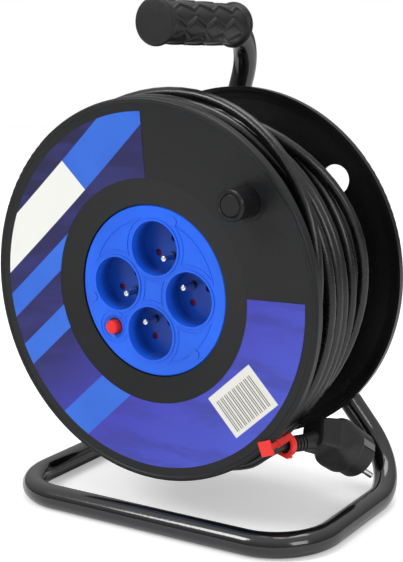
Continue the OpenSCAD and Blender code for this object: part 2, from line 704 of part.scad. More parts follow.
// The lower wind runs to the rear, climbs there, and comes back over itself
function wind_point(t) = let (
        turns = wind_turns + cross_turns,
        a = wind_end + 360 * (t - turns),
        climb = ramp(t, wind_turns - 0.8, wind_turns - 0.4),
        swell = ramp(t, wind_turns, wind_turns + 1) * wind_swell * (1 + cos(a - 90)),
        z = first_y + (last_y - first_y) * ramp(t, 0, wind_turns - 0.5)
            + wind_shift * ramp(t, wind_turns - 0.3, wind_turns + 0.2)
            + (first_y - 6 - last_y - wind_shift) * ramp(t, wind_turns + 0.2, turns))
    [each polar(wind_r + (cross_r - wind_r) * climb + swell, a), z];
wind_points = [for (i = [0:(wind_turns + cross_turns) * rings_per_turn]) wind_point(i / rings_per_turn)];

// Section of a swept tube at point i: a ring square to the path
function path_dir(p, i) = unit(p[min(i + 1, len(p) - 1)] - p[max(i - 1, 0)]);
function tube_ring(p, i, r, sides, up) = let (d = path_dir(p, i), a = unit(cross(d, up(p, i))), b = cross(d, a))
    [for (k = [0:sides - 1]) p[i] + r * (cos(360 * k / sides) * a + sin(360 * k / sides) * b)];
module swept_tube(p, r, sides, up) {
    rings = [for (i = [0:len(p) - 1]) each tube_ring(p, i, r, sides, up)];
    n = len(p);
    quads = [for (i = [0:n - 2], k = [0:sides - 1]) let (a = i * sides + k, b = i * sides + (k + 1) % sides)
        each [[a, b, b + sides], [a, b + sides, a + sides]]];
    polyhedron(points = rings, faces = concat([[for (k = [sides - 1:-1:0]) k]], quads,
        [[for (k = [0:sides - 1]) (n - 1) * sides + k]]), convexity = 12);
}
up_axial = function (p, i) [0, 0, 1];
module cable_outer_wind() {
    color("#232426") face() swept_tube(wind_points, cable_d / 2, wind_sides, up_axial);
}
// Least distance between two turns, surface to surface
wind_gap = min([for (i = [0:len(wind_points) - 1], j = [i + rings_per_turn / 2:1:len(wind_points) - 1])
    norm(wind_points[i] - wind_points[j])]) - cable_d;
echo(wind_gap = wind_gap);

// Route of the tail: out of the last turn, behind the front rim, and round a
// bend to the rear through the clip
tail_bend = 14.5;
tail_dir = unit(cross([relief_start[0], relief_start[1], 0], relief_dir));
function tail_arc(q) = relief_start - tail_bend * (tail_dir * (1 - sin(q)) + relief_dir * cos(q));
tail_start = wind_points[len(wind_points) - 1];
tail_route = [
    tail_start,
    tail_start + cable_d * path_dir(wind_points, len(wind_points) - 1),
    [each polar(134.6, -88), -19.4],
    [each polar(136.2, -78), -17.6],
    [each polar(138.4, -68.5), -15.4],
    [each polar(141.2, -60), -13.2],
    [each polar(145.2, -53), -12],
    [each polar(146.4, -49), -10.9],
    tail_arc(25),
    tail_arc(58),
    relief_start - 0.5 * relief_dir,
    relief_start + cable_d * relief_dir];
// Points of a smooth curve through a route
function catmull(a, b, c, d, u) = 0.5 * ((2 * b) + (c - a) * u + (2 * a - 5 * b + 4 * c - d) * u * u
    + (3 * b - a - 3 * c + d) * u * u * u);
function smooth(route, steps) = let (n = len(route))
    [for (i = [1:n - 3], k = [0:steps - 1])
        catmull(route[i - 1], route[i], route[i + 1], route[i + 2], k / steps), route[n - 2]];
tail_points = concat([tail_start], smooth(tail_route, 4), [relief_start]);
module cable_tail() {
    color("#232426") face() swept_tube(tail_points, cable_d / 2, 8, up_axial);
}

// ---- plug -----------------------------------------------------------------
// The cable enters at an angle, on one side of the plug's axis
plug_out = unit([0.371, -0.567, -0.735]);
plug_side = unit(cross(plug_out, [0.846, 0.533, 0.032]));
plug_top = cross(plug_side, plug_out);
entry_side = 14.2;
entry_top = 2.7;
housing_r = 20;
plug_face = relief_end + plug_out * plug_len - plug_side * entry_side - plug_top * entry_top;
module at_plug() {
    face() multmatrix([[plug_top[0], plug_side[0], plug_out[0], plug_face[0]],
        [plug_top[1], plug_side[1], plug_out[1], plug_face[1]],
        [plug_top[2], plug_side[2], plug_out[2], plug_face[2]], [0, 0, 0, 1]]) children();
}
module strain_relief() {
    color("#1a1b1c") face() along(relief_start, relief_end) union() {
        cylinder(r = relief_r - 1.3, h = relief_len);
        for (i = [0:5]) translate([0, 0, i * 3.6]) cylinder(r = relief_r, h = 2.2);
        translate([0, 0, relief_ribs])
            cylinder(r1 = relief_r, r2 = relief_r + relief_swell, h = relief_len + relief_root - relief_ribs);
    }
}
module plug_body() {
    color("#1e1f21") difference() {
        at_plug() difference() {
            union() {
                translate([0, 0, -plug_nose]) cylinder(r = plug_r, h = plug_nose);
                hull() {
                    translate([0, 1.5, -plug_nose - 8]) cylinder(r = housing_r, h = 8, $fn = 32);
                    translate([entry_top + 0.5, entry_side - 3, -plug_len + 5.9]) sphere(r = 10, $fn = 32);
                    for (x = [-5, 9]) translate([x, 1.5, -plug_len + 10.4]) sphere(r = 8.5, $fn = 32);
                }
            }
            for (s = [-1, 1]) {
                translate([s * (plug_r + 1) - 2.2, -3.4, -plug_nose]) cube([4.4, 6.8, plug_nose + 1]);
                translate([0, s * contact_gap / 2, -plug_nose]) cylinder(r = pin_r, h = plug_nose + 1, $fn = 32);
            }
            translate([earth_offset, 0, -plug_nose + 1]) cylinder(r = earth_r + 0.2, h = plug_nose + 1, $fn = 32);
        }
        face() along(relief_start, relief_end) {
            cylinder(r = relief_r + run, h = relief_ribs + eps);
            translate([0, 0, relief_ribs]) cylinder(r1 = relief_r + run, r2 = relief_r + relief_swell + run,
                h = relief_len + relief_root - relief_ribs + run);
        }
    }
}
module plug_pins() {
    color("#d4d5d3") at_plug() for (s = [-1, 1]) translate([0, s * contact_gap / 2, -plug_nose]) union() {
        cylinder(r = pin_r, h = plug_nose + pin_len - 1.4, $fn = 32);
        translate([0, 0, plug_nose + pin_len - 1.4]) cylinder(r1 = pin_r, r2 = pin_r - 1.2, h = 1.4, $fn = 32);
    }
}
module plug_earth_contacts() {
    color("#c8c9c7") at_plug() for (s = [-1, 1])
        translate([s * (plug_r - 0.7) - 0.5, -3, -plug_nose]) cube([1, 6, plug_nose - 1]);
}

frame_tube();
hand_grip();
hub_plate();
axle_bolt();
axle_nut();
axle_sleeve();
thrust_washers();
front_flange();
rear_flange();
hub_bush();
barrel_screws();
socket_plate();
plate_screws();
screw_caps();
earth_pins();
contact_carrier();
live_contacts();
neutral_contacts();
earth_strap();
thermal_cutout();
reset_button();
shutter_top();
shutter_left();
shutter_bottom();
shutter_right();
crank_peg();
peg_screw();
crank_knob();
label();
cable_clip();
cable_clamp();
clamp_screws();
cable_inner_end();
cable_core();
cable_outer_wind();
cable_tail();
strain_relief();
plug_body();
plug_pins();
plug_earth_contacts();
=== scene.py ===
# %% [markdown]
# # A cable reel on a tube frame
#
# The exact pieces of the reel (flanges, tube, outlets, screws) come ready made
# from CAD and stay where they are. This lesson gives each of them a finish,
# and adds what CAD is poor at: fifty metres of wound rubber cable, a moulded
# plug, a ribbed grip and a printed label.
#
# Everything is in metres, with the floor at z = 0 and the outlets facing -Y.

import bpy
import numpy as np
from mathutils import Matrix, Vector


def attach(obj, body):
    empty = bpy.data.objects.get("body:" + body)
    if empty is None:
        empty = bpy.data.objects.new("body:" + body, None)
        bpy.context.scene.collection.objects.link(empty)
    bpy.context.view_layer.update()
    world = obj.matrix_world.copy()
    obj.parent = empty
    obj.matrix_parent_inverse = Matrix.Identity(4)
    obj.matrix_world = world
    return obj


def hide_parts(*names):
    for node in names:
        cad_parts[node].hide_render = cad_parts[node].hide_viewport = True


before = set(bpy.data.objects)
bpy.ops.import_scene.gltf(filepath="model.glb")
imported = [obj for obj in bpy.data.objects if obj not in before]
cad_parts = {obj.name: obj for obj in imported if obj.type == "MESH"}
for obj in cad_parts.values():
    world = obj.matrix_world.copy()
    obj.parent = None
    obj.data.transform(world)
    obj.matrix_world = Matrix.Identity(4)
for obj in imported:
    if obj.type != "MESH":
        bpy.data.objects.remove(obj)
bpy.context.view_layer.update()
frame_body = "frame"

# %% [markdown]
# ## Two ways to give a place
#
# The drum's parts are easiest to describe as seen from the front: right, up
# and out of the face, in millimetres from the middle of the face. The drum
# rests turned by a few degrees, so one function turns and moves such points
# into the reel's own metres.

# %% The drum's face as a frame of reference
DRUM_TURN = np.radians(-5.5)
AXLE_Z = 182.0
FACE_Y = -75.45
MM = 0.001


def on_reel(points):
    """Face frame (mm) to reel frame (m): a turn about the axle, then a shift; depth becomes -Y."""
    p = np.asarray(points, float)
    x = p[..., 0] * np.cos(DRUM_TURN) - p[..., 1] * np.sin(DRUM_TURN)
    z = p[..., 0] * np.sin(DRUM_TURN) + p[..., 1] * np.cos(DRUM_TURN)
    return np.stack([x, FACE_Y - p[..., 2], AXLE_Z + z], -1) * MM


def polar(radius, degrees, out):
    """A point of the face frame from its radius, its angle from the right, and its height."""
    a = np.radians(degrees)
    return np.stack(np.broadcast_arrays(radius * np.cos(a), radius * np.sin(a), out), -1)


print("middle of the face:", on_reel([0, 0, 0]).round(4))

# %% [markdown]
# ## Camera
#
# The reel is seen from its front right, a little from above, with a long lens
# from about a metre away, and the camera leans by under two degrees. The
# camera looks down its own -Z, so its matrix is built from three directions:
# right, up and backwards.

# %% Camera
azimuth, elevation, lean = np.radians([34.01, 11.53, -1.69])
flat_back = np.array([np.sin(azimuth), -np.cos(azimuth), 0])
back = flat_back * np.cos(elevation) + np.array([0, 0, np.sin(elevation)])
flat_right = np.array([np.cos(azimuth), np.sin(azimuth), 0])
flat_up = np.cross(back, flat_right)
right = np.cos(lean) * flat_right + np.sin(lean) * flat_up
up = np.cos(lean) * flat_up - np.sin(lean) * flat_right
eye = np.array([9.2, 60.0 + FACE_Y, 181.0]) * MM + 0.9781 * back

camera = bpy.data.objects.new("camera", bpy.data.cameras.new("camera"))
camera.data.lens = 80.55
camera.data.sensor_width = 36
camera.data.clip_start = 0.05
matrix = np.eye(4)
matrix[:3, 0], matrix[:3, 1], matrix[:3, 2], matrix[:3, 3] = right, up, back, eye
camera.matrix_world = Matrix(matrix.tolist())
bpy.context.scene.collection.objects.link(camera)
bpy.context.scene.camera = camera
print("camera at", eye.round(3))

# %% [markdown]
# ## Surfaces from arrays
#
# Every new piece here is a grid of points: one direction runs along the piece
# and the other round it. NumPy works out all the points at once, and
# foreach_set hands them to the mesh without a slow loop in Python.


# %% Grid surfaces
def piece(name, points, quads, body):
    """Makes a smooth mesh object from points (n, 3) in metres and quads (m, 4)."""
    mesh = bpy.data.meshes.new(name)
    points, quads = np.asarray(points, float), np.asarray(quads, np.int32)
    mesh.vertices.add(len(points))
    mesh.vertices.foreach_set("co", points.ravel())
    sizes = np.where(quads[:, 3] < 0, 3, 4).astype(np.int32)
    mesh.loops.add(int(sizes.sum()))
    mesh.loops.foreach_set("vertex_index", quads[quads >= 0])
    mesh.polygons.add(len(quads))
    mesh.polygons.foreach_set("loop_start", np.r_[0, np.cumsum(sizes)[:-1]].astype(np.int32))
    mesh.polygons.foreach_set("loop_total", sizes)
    mesh.polygons.foreach_set("use_smooth", np.ones(len(quads), bool))
    mesh.update(calc_edges=True)
    mesh.validate()
    made = bpy.data.objects.new(name, mesh)
    bpy.context.scene.collection.objects.link(made)
    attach(made, body)
    return made


def grid_faces(rows, columns, closed_ends=True):
    """Quads between the rows of a grid that is closed round its columns.

    An end is a fan of triangles on its first point; -1 stands for a missing fourth corner."""
    i, k = np.meshgrid(np.arange(rows - 1), np.arange(columns), indexing="ij")
    j = (k + 1) % columns
    quads = np.stack([i * columns + k, i * columns + j, (i + 1) * columns + j, (i + 1) * columns + k], -1)
    quads = quads.reshape(-1, 4)
    if not closed_ends:
        return quads
    k = np.arange(1, columns - 1)
    none = np.full(len(k), -1)
    first = np.stack([np.zeros_like(k), k + 1, k, none], -1)
    base = (rows - 1) * columns
    last = np.stack([np.full_like(k, base), base + k, base + k + 1, none], -1)
    return np.concatenate([quads, first, last])


def tube_points(path, radius, sides, side_hint):
    """A circle of the given radius round each path point, square to the path.

    side_hint (n, 3) says which way each circle's first point faces."""
    along = np.gradient(path, axis=0)
    along /= np.linalg.norm(along, axis=1, keepdims=True)
    a = side_hint - along * np.sum(side_hint * along, axis=1, keepdims=True)
    a /= np.linalg.norm(a, axis=1, keepdims=True)
    b = np.cross(along, a)
    t = np.linspace(0, 2 * np.pi, sides, endpoint=False)[None, :, None]
    r = np.broadcast_to(np.asarray(radius, float), (len(path),))[:, None, None]
    return (path[:, None] + r * (np.cos(t) * a[:, None] + np.sin(t) * b[:, None])).reshape(-1, 3)


# %% [markdown]
# ## Fifty metres of cable
#
# A machine winds the cable in layers, and a person winds the last turns by
# hand, so these cross each other at a slant. A simulation could drop such
# turns, but there is a simpler rule: lay one turn after the other, and let
# every new turn rest on those that it crosses. Where it lies sideways by `gap`
# from an older turn, it must be at least sqrt(d*d - gap*gap) further out. The
# cable is stiff, so its radius follows only the highest supports, smoothed.


# %% Smooth a row of numbers
def softened(values, sigma):
    """Each value becomes a bell-weighted mean of its neighbours: weights exp(-k*k / (2*sigma*sigma))."""
    reach = int(4 * sigma + 0.5)
    bell = np.exp(-(np.arange(-reach, reach + 1) ** 2) / (2 * sigma**2))
    return np.convolve(np.pad(values, reach, mode="edge"), bell / bell.sum(), mode="valid")


def highest_near(values, reach):
    """Each value becomes the highest of those within reach of it."""
    padded = np.pad(values, reach, mode="edge")
    return np.lib.stride_tricks.sliding_window_view(padded, 2 * reach + 1).max(axis=1)


# %% Lay the turns
CABLE_D = 8.5
STEPS = 72
BARREL_R = 72.5


def rest_on_turns(depth, spacing):
    """Radius of every point of a winding, from its depth.

    It is the highest of the older turns under it, smoothed along the cable."""
    radius = np.full(len(depth), BARREL_R + CABLE_D / 2 + 0.4)
    for start in range(0, len(depth), STEPS):
        turn = np.arange(start, min(start + STEPS, len(depth)))
        new = radius[turn]
        for back_by in range(STEPS, start + 1, STEPS):
            under = turn - back_by
            gap = depth[turn] - depth[under]
            lift = np.sqrt(np.maximum(spacing**2 - gap**2, 0))
            new = np.maximum(new, np.where(np.abs(gap) < spacing, radius[under] + lift, 0))
        before = np.concatenate([radius[max(0, start - STEPS) : start], new])
        radius[turn] = softened(highest_near(before, 4), 3.5)[-len(turn) :]
    return radius


# By machine: (turns so far, depth). Five full layers, then one that comes back to the front.
FRONT, REAR = -12.0, -121.0
START = 150.0
LAYER = 12.0
full_layers = [(1 + LAYER * k, REAR if k % 2 else FRONT) for k in range(1, 6)]
by_machine = np.array([(0, -54), (1, -15), *full_layers, (61.6, -108), (71, -17)])

# By hand: (degrees since then, depth). One row is one turn, from 150 degrees round to 105.
by_hand = np.array(
    [
        *[(45, -28), (90, -40), (135, -57), (180, -74), (225, -84), (270, -75), (315, -76)],
        *[(360, -76), (405, -72), (450, -68), (495, -66), (540, -84), (585, -101)],
        *[(600, -92), (615, -78), (630, -63), (675, -38)],
        *[(720, -50), (765, -56), (810, -58), (855, -51)],
        *[(900, -55), (945, -61), (990, -52), (1035, -27)],
        *[(1080, -37), (1125, -44), (1170, -48), (1215, -41)],
        *[(1260, -41), (1305, -47), (1350, -41), (1395, -19)],
        *[(1440, -27), (1485, -34), (1530, -39), (1575, -32)],
        *[(1620, -30), (1665, -34), (1710, -29), (1755, -14)],
        *[(1800, -18), (1845, -25), (1890, -30), (1935, -23)],
        *[(1980, -16), (2025, -14), (2070, -27), (2094, -38)],
        *[(2115, -36), (2160, -28), (2205, -23), (2250, -21), (2270, -20.9)],
    ],
    float,
)
TURNS_BY_MACHINE = by_machine[-1, 0]
knots = np.concatenate([by_machine, by_hand * [1 / 360, 1] + [TURNS_BY_MACHINE, 0]])
t = np.arange(int(round(knots[-1, 0] * STEPS)) + 1) / STEPS
angle = START + 360 * t
bow = -4.0 * np.cos(np.radians(angle - 10)) * np.clip((t - 56) / 6, 0, 1) * (t < TURNS_BY_MACHINE)
depth = softened(np.interp(t, *knots.T) + bow, STEPS * 0.05)
radius = rest_on_turns(depth, 8.6)

# The stiff last turn stands a little off the pile at the top.
LIFT, LIFT_AT, LIFT_SPREAD = 1.0, 2100, 50
by_hand_degrees = 360 * (t - TURNS_BY_MACHINE)
radius += LIFT * np.exp(-(((by_hand_degrees - LIFT_AT) / LIFT_SPREAD) ** 2))
print("turns: %.1f, outermost radius: %.1f mm" % (t[-1], radius.max()))

# %% [markdown]
# The cable then leaves the winding at the bottom, runs on behind the front rim
# and bends to the rear through a red clip into the plug's strain relief. The
# bend is a quarter circle. These few points are the same as in the CAD model,
# joined by a smooth curve.

# %% The loose tail
RELIEF_START = np.array([113.04, -98.15, -24.7])
RELIEF_DIR = np.array([0.216, -0.139, -0.966])
RELIEF_DIR /= np.linalg.norm(RELIEF_DIR)
RELIEF_LEN = 31.4
TAIL_BEND = 14.5
RELIEF_END = RELIEF_START + RELIEF_LEN * RELIEF_DIR
tail_dir = np.cross(RELIEF_START * [1, 1, 0], RELIEF_DIR)
tail_dir /= np.linalg.norm(tail_dir)


def tail_arc(degrees):
    """Point of the last bend, an arc that ends at the strain relief at 90 degrees."""
    a = np.radians(degrees)
    return RELIEF_START - TAIL_BEND * (tail_dir * (1 - np.sin(a)) + RELIEF_DIR * np.cos(a))


tail_knots = np.array(
    [
        polar(133.8, -96.3, -20.6),
        polar(134.6, -88.0, -19.4),
        polar(136.2, -78.0, -17.6),
        polar(138.4, -68.5, -15.4),
        polar(141.2, -60.0, -13.2),
        polar(145.2, -53.0, -12.0),
        polar(146.4, -49.0, -10.9),
        tail_arc(25),
        tail_arc(58),
        RELIEF_START,
    ]
)


def smooth_curve(knots, steps):
    """Catmull-Rom: between knots b and c the curve leaves along c - a and arrives along d - b."""
    k = np.concatenate([[2 * knots[0] - knots[1]], knots, [2 * knots[-1] - knots[-2]]])
    a, b, c, d = k[:-3, None], k[1:-2, None], k[2:-1, None], k[3:, None]
    u = (np.arange(steps) / steps)[None, :, None]
    square, cube = 2 * a - 5 * b + 4 * c - d, 3 * b - a - 3 * c + d
    curve = 0.5 * (2 * b + (c - a) * u + square * u**2 + cube * u**3)
    return np.concatenate([curve.reshape(-1, knots.shape[1]), knots[-1:]])


settle = np.clip((t - t[-1] + 0.25) / 0.25, 0, 1)
radius += (133.7 - radius) * settle**2 * (3 - 2 * settle)
wound = polar(radius, angle, depth)
tail = smooth_curve(np.concatenate([wound[-1:], tail_knots]), 5)[1:]
route = np.concatenate([wound, tail])
length = np.linalg.norm(np.diff(route, axis=0), axis=1).sum() * MM
print("cable length: %.2f m, %d rings" % (length, len(route)))

# %% Skin the cable
outward = route * [1, 1, 0]
outward /= np.linalg.norm(outward, axis=1, keepdims=True)
SIDES = 10
skin = on_reel(tube_points(route, CABLE_D / 2, SIDES, outward))
cable = piece("cable", skin, grid_faces(len(route), SIDES), "drum")
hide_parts("cable_core", "cable_outer_wind", "cable_tail")

# %% [markdown]
# ## The bent tube
#
# The frame is one steel tube, bent cold on a round former, so its axis is made
# of straight legs and circular arcs. An arc of radius r in a corner of angle a
# takes r / tan(a / 2) off both legs.

# %% The frame's axis and skin
corners = np.array(
    [
        [0, -47.45, 379.5],
        [0, 87.05, 374],
        [-40, 80.55, 234],
        [136, 80.55, 9.5],
        [136, -88.95, 9.5],
        [-136, -88.95, 9.5],
        [-136, 80.55, 9.5],
        [0, 80.55, 182],
    ],
    float,
)
BENDS = [42, 80, 50, 46, 46, 50]
TUBE_R = 9.5


def bent_path(points, bends, steps):
    """Start, the arcs and the end.

    In a corner b with legs u and v, the arc's centre is b + (u + v) / |u + v| * r / sin(a / 2)."""
    rows = [points[:1]]
    for a, b, c, r in zip(points, points[1:], points[2:], bends):
        u, v = (a - b) / np.linalg.norm(a - b), (c - b) / np.linalg.norm(c - b)
        half = np.arccos(u @ v) / 2
        middle = b + (u + v) / np.linalg.norm(u + v) * r / np.sin(half)
        first, side = b + u * r / np.tan(half) - middle, -u
        turn = np.linspace(0, np.pi - 2 * half, steps)[:, None]
        rows.append(middle + first * np.cos(turn) + r * side * np.sin(turn))
    return np.concatenate([*rows, points[-1:]])


axis = bent_path(corners, BENDS, 25)
lengths = np.linalg.norm(np.diff(axis, axis=0), axis=1)
far = np.r_[0, np.cumsum(lengths)]
RING_EVERY, SPIGOT_LEN, SPIGOT_STEP, TUBE_SIDES = 3, 16, 0.3, 48
at = np.linspace(0, far[-1], int(far[-1] / RING_EVERY))
axis = np.stack([np.interp(at, far, axis[:, k]) for k in range(3)], -1)
narrow = np.where(at > at[-1] - SPIGOT_LEN, TUBE_R - SPIGOT_STEP, TUBE_R)
side_hint = [np.array([1.0, 0, 0])]
for d in np.gradient(axis, axis=0)[1:]:
    side_hint.append(side_hint[-1] - d * (side_hint[-1] @ d) / (d @ d))
skin = tube_points(axis, narrow, TUBE_SIDES, np.array(side_hint)) * MM
tube = piece("frame_tube_skin", skin, grid_faces(len(axis), TUBE_SIDES), frame_body)
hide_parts("frame_tube")
print("tube: %.0f mm long, %d rings" % (far[-1], len(axis)))

# %% [markdown]
# ## The grip
#
# The grip is a soft sleeve pushed over the tube, with a flat end and a flange
# at each side. Zigzag ridges run along it. Every second one is mirrored, so
# they leave diamond fields between them. The ridge is a bump in the radius:
# height * exp(-(distance / width) ** 2), where the distance is measured round
# the grip to the nearest zigzag line. A shallow groove runs beside each ridge.

# %% The grip's surface
GRIP_R, GRIP_LEN, ROWS, WAVE = 15.6, 110.0, 8, 26.0
# The outline from end to end: (radius, distance along the grip).
profile = np.array(
    [
        *[(0, 0), (15, 0), (16.6, 0.3), (17.6, 1.0), (18, 2.0), (18, 3.2)],
        *[(17.4, 4.4), (16.2, 5.2), (15.2, 6.6), (15.0, 8)],
        *[(GRIP_R, 24), (GRIP_R + 0.2, 55), (GRIP_R, 86), (15.0, 102)],
        *[(15.2, 103.4), (16.2, 104.8), (17.4, 105.6)],
        *[(18, 106.8), (18, 108), (17.6, 109), (16.6, 109.7), (15, 110), (9.6, 110)],
    ],
    float,
)
steps_along = np.unique(np.r_[np.linspace(8, 102, 236), profile[:, 1]])
ring_z = np.concatenate([np.zeros(3), steps_along[1:-1], np.full(2, GRIP_LEN)])
side_r = np.interp(steps_along[1:-1], profile[1:-1, 1], profile[1:-1, 0])
ring_r = np.concatenate([[0.01, 8, 15], side_r, [15, 9.6]])
around = np.linspace(0, 2 * np.pi, 192, endpoint=False)
wave = 0.24 * (4 * np.abs((ring_z / WAVE + 0.25) % 1 - 0.5) - 1)
line = np.arange(ROWS)[:, None, None]
turns = around[None, None, :] / (2 * np.pi) * ROWS
off = turns - line - np.where(line % 2 == 0, 1, -1) * wave[None, :, None]
off = np.abs((off + ROWS / 2) % ROWS - ROWS / 2).min(axis=0) * 2 * np.pi * GRIP_R / ROWS
inside = np.clip((ring_z - 8) / 3, 0, 1) * np.clip((102 - ring_z) / 3, 0, 1)
RIDGE, RIDGE_WIDTH = 1.1, 0.9
GROOVE, GROOVE_OFF, GROOVE_WIDTH = 0.35, 2.2, 1.2
ridge = RIDGE * np.exp(-((off / RIDGE_WIDTH) ** 2))
groove = GROOVE * np.exp(-(((off - GROOVE_OFF) / GROOVE_WIDTH) ** 2))
bulge = (ridge - groove) * inside[:, None]
grip_dir = (corners[1] - corners[0]) / np.linalg.norm(corners[1] - corners[0])
grip_side = np.array([1.0, 0, 0])
grip_up = np.cross(grip_dir, grip_side)
rho = ring_r[:, None] + bulge
ring = np.cos(around)[:, None] * grip_side + np.sin(around)[:, None] * grip_up
GRIP_END = 6
along_axis = corners[0] - GRIP_END * grip_dir + ring_z[:, None, None] * grip_dir
skin = (along_axis + rho[..., None] * ring[None]) * MM
faces = grid_faces(len(ring_z), len(around))
grip = piece("hand_grip_skin", skin.reshape(-1, 3), faces, frame_body)
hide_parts("hand_grip")
print("grip rings:", len(ring_z))

# %% [markdown]
# ## The plug
#
# A moulded angle plug: a square neck where the cable enters, a rounder body
# behind the face and a round nose that goes into the outlet. It is a loft of
# superellipses |x / a| ** n + |y / b| ** n = 1. A low n gives a circle and a
# high one a rounded square. Two slots in the nose hold the earth strips, and a
# flat panel on the back is where the fingers push.

# %% The plug's surface
PLUG_OUT = np.array([0.371, -0.567, -0.735])
PLUG_OUT /= np.linalg.norm(PLUG_OUT)
PLUG_SIDE = np.cross(PLUG_OUT, [0.846, 0.533, 0.032])
PLUG_SIDE /= np.linalg.norm(PLUG_SIDE)
PLUG_TOP = np.cross(PLUG_SIDE, PLUG_OUT)
plug_face = RELIEF_END + 55.4 * PLUG_OUT - 14.2 * PLUG_SIDE - 2.7 * PLUG_TOP
# Depth behind the face, middle of the section (x, y), half widths (a, b), power n.
stations = np.array(
    [
        *[(-57.6, 3.2, 9.4, 0.1, 0.1, 3), (-57.5, 3.2, 9.4, 8.4, 9.6, 5), (-56.8, 3.2, 9.2, 10.2, 11.4, 6)],
        *[(-54, 3.2, 8.4, 11, 12.4, 6.5), (-49, 3.2, 6.4, 11.2, 12.8, 6.5), (-43, 3.2, 4.4, 11.5, 13.2, 7)],
        *[(-38.5, 3.0, 3.2, 11.9, 13.8, 7), (-36.8, 2.2, 3.0, 13.9, 15.2, 5)],
        *[(-33.5, 1.4, 2.6, 16.4, 17.2, 3.4)],
        *[(-28, 0.5, 1.8, 18.8, 19.2, 2.5), (-23, 0, 1.5, 19.8, 19.8, 2.15), (-17, 0, 1.5, 20.0, 20.0, 2.0)],
        *[(-16.1, 0, 1.4, 19.8, 19.8, 2.0), (-15.6, 0, 0.2, 18.6, 18.6, 2.0), (-8, 0, 0, 18.5, 18.5, 2)],
        *[(-1.2, 0, 0, 18.4, 18.4, 2), (-0.3, 0, 0, 18.0, 18.0, 2), (0, 0, 0, 17.2, 17.2, 2)],
        *[(0, 0, 0, 9, 9, 2)],
    ],
    float,
)
row = np.arange(len(stations))
PLUG_RINGS, PLUG_SIDES = 120, 144
fine = np.unique(np.concatenate([row, np.linspace(0, row[-1], PLUG_RINGS)]))
z, mid_x, mid_y, half_x, half_y, power = (np.interp(fine, row, stations[:, k])[:, None] for k in range(6))
turn = np.linspace(0, 2 * np.pi, PLUG_SIDES, endpoint=False)[None]
x = mid_x + half_x * np.sign(np.cos(turn)) * np.abs(np.cos(turn)) ** (2 / power)
y = mid_y + half_y * np.sign(np.sin(turn)) * np.abs(np.sin(turn)) ** (2 / power)
SLOT_HALF, SLOT_BACK, SLOT_FLOOR = 3.4, -15.8, 17.2
slot_here = (np.abs(y) < SLOT_HALF) & (z > SLOT_BACK)
x = np.where(slot_here & (np.abs(x) > SLOT_FLOOR), np.sign(x) * SLOT_FLOOR, x)
PANEL_MID, PANEL_HALF, PANEL_BACK, PANEL_FRONT, PANEL_Y = 1.5, 8.6, -35, -19, -13.2
panel = (np.abs(x - PANEL_MID) < PANEL_HALF) & (z > PANEL_BACK) & (z < PANEL_FRONT)
y = np.where(panel & (y < PANEL_Y), PANEL_Y, y)
skin = plug_face + x[..., None] * PLUG_TOP + y[..., None] * PLUG_SIDE + (z + 0 * x)[..., None] * PLUG_OUT
faces = grid_faces(len(fine), PLUG_SIDES)
plug = piece("plug_body_skin", on_reel(skin).reshape(-1, 3), faces, "drum")
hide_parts("plug_body")
print("plug rings:", len(fine))

# %% [markdown]
# ## Material maths as Python
#
# A node material is easier to read as an expression. `Value` wraps a socket,
# and its operators add the Math nodes. `Recipe` holds one material: `node`
# makes any node, with its settings first and then its inputs.


# %% A small language for materials
class Value:
    """A socket that adds Math nodes when it is used in an expression."""

    def __init__(self, recipe, socket):
        self.recipe, self.socket = recipe, socket

    def maths(self, operation, *others):
        return self.recipe.node("ShaderNodeMath", dict(operation=operation), *others)

    def __add__(self, other):
        return self.maths("ADD", self, other)

    def __sub__(self, other):
        return self.maths("SUBTRACT", self, other)

    def __mul__(self, other):
        return self.maths("MULTIPLY", self, other)

    def __truediv__(self, other):
        return self.maths("DIVIDE", self, other)

    def __rsub__(self, other):
        return self.maths("SUBTRACT", other, self)

    def __rtruediv__(self, other):
        return self.maths("DIVIDE", other, self)

    __radd__, __rmul__ = __add__, __mul__


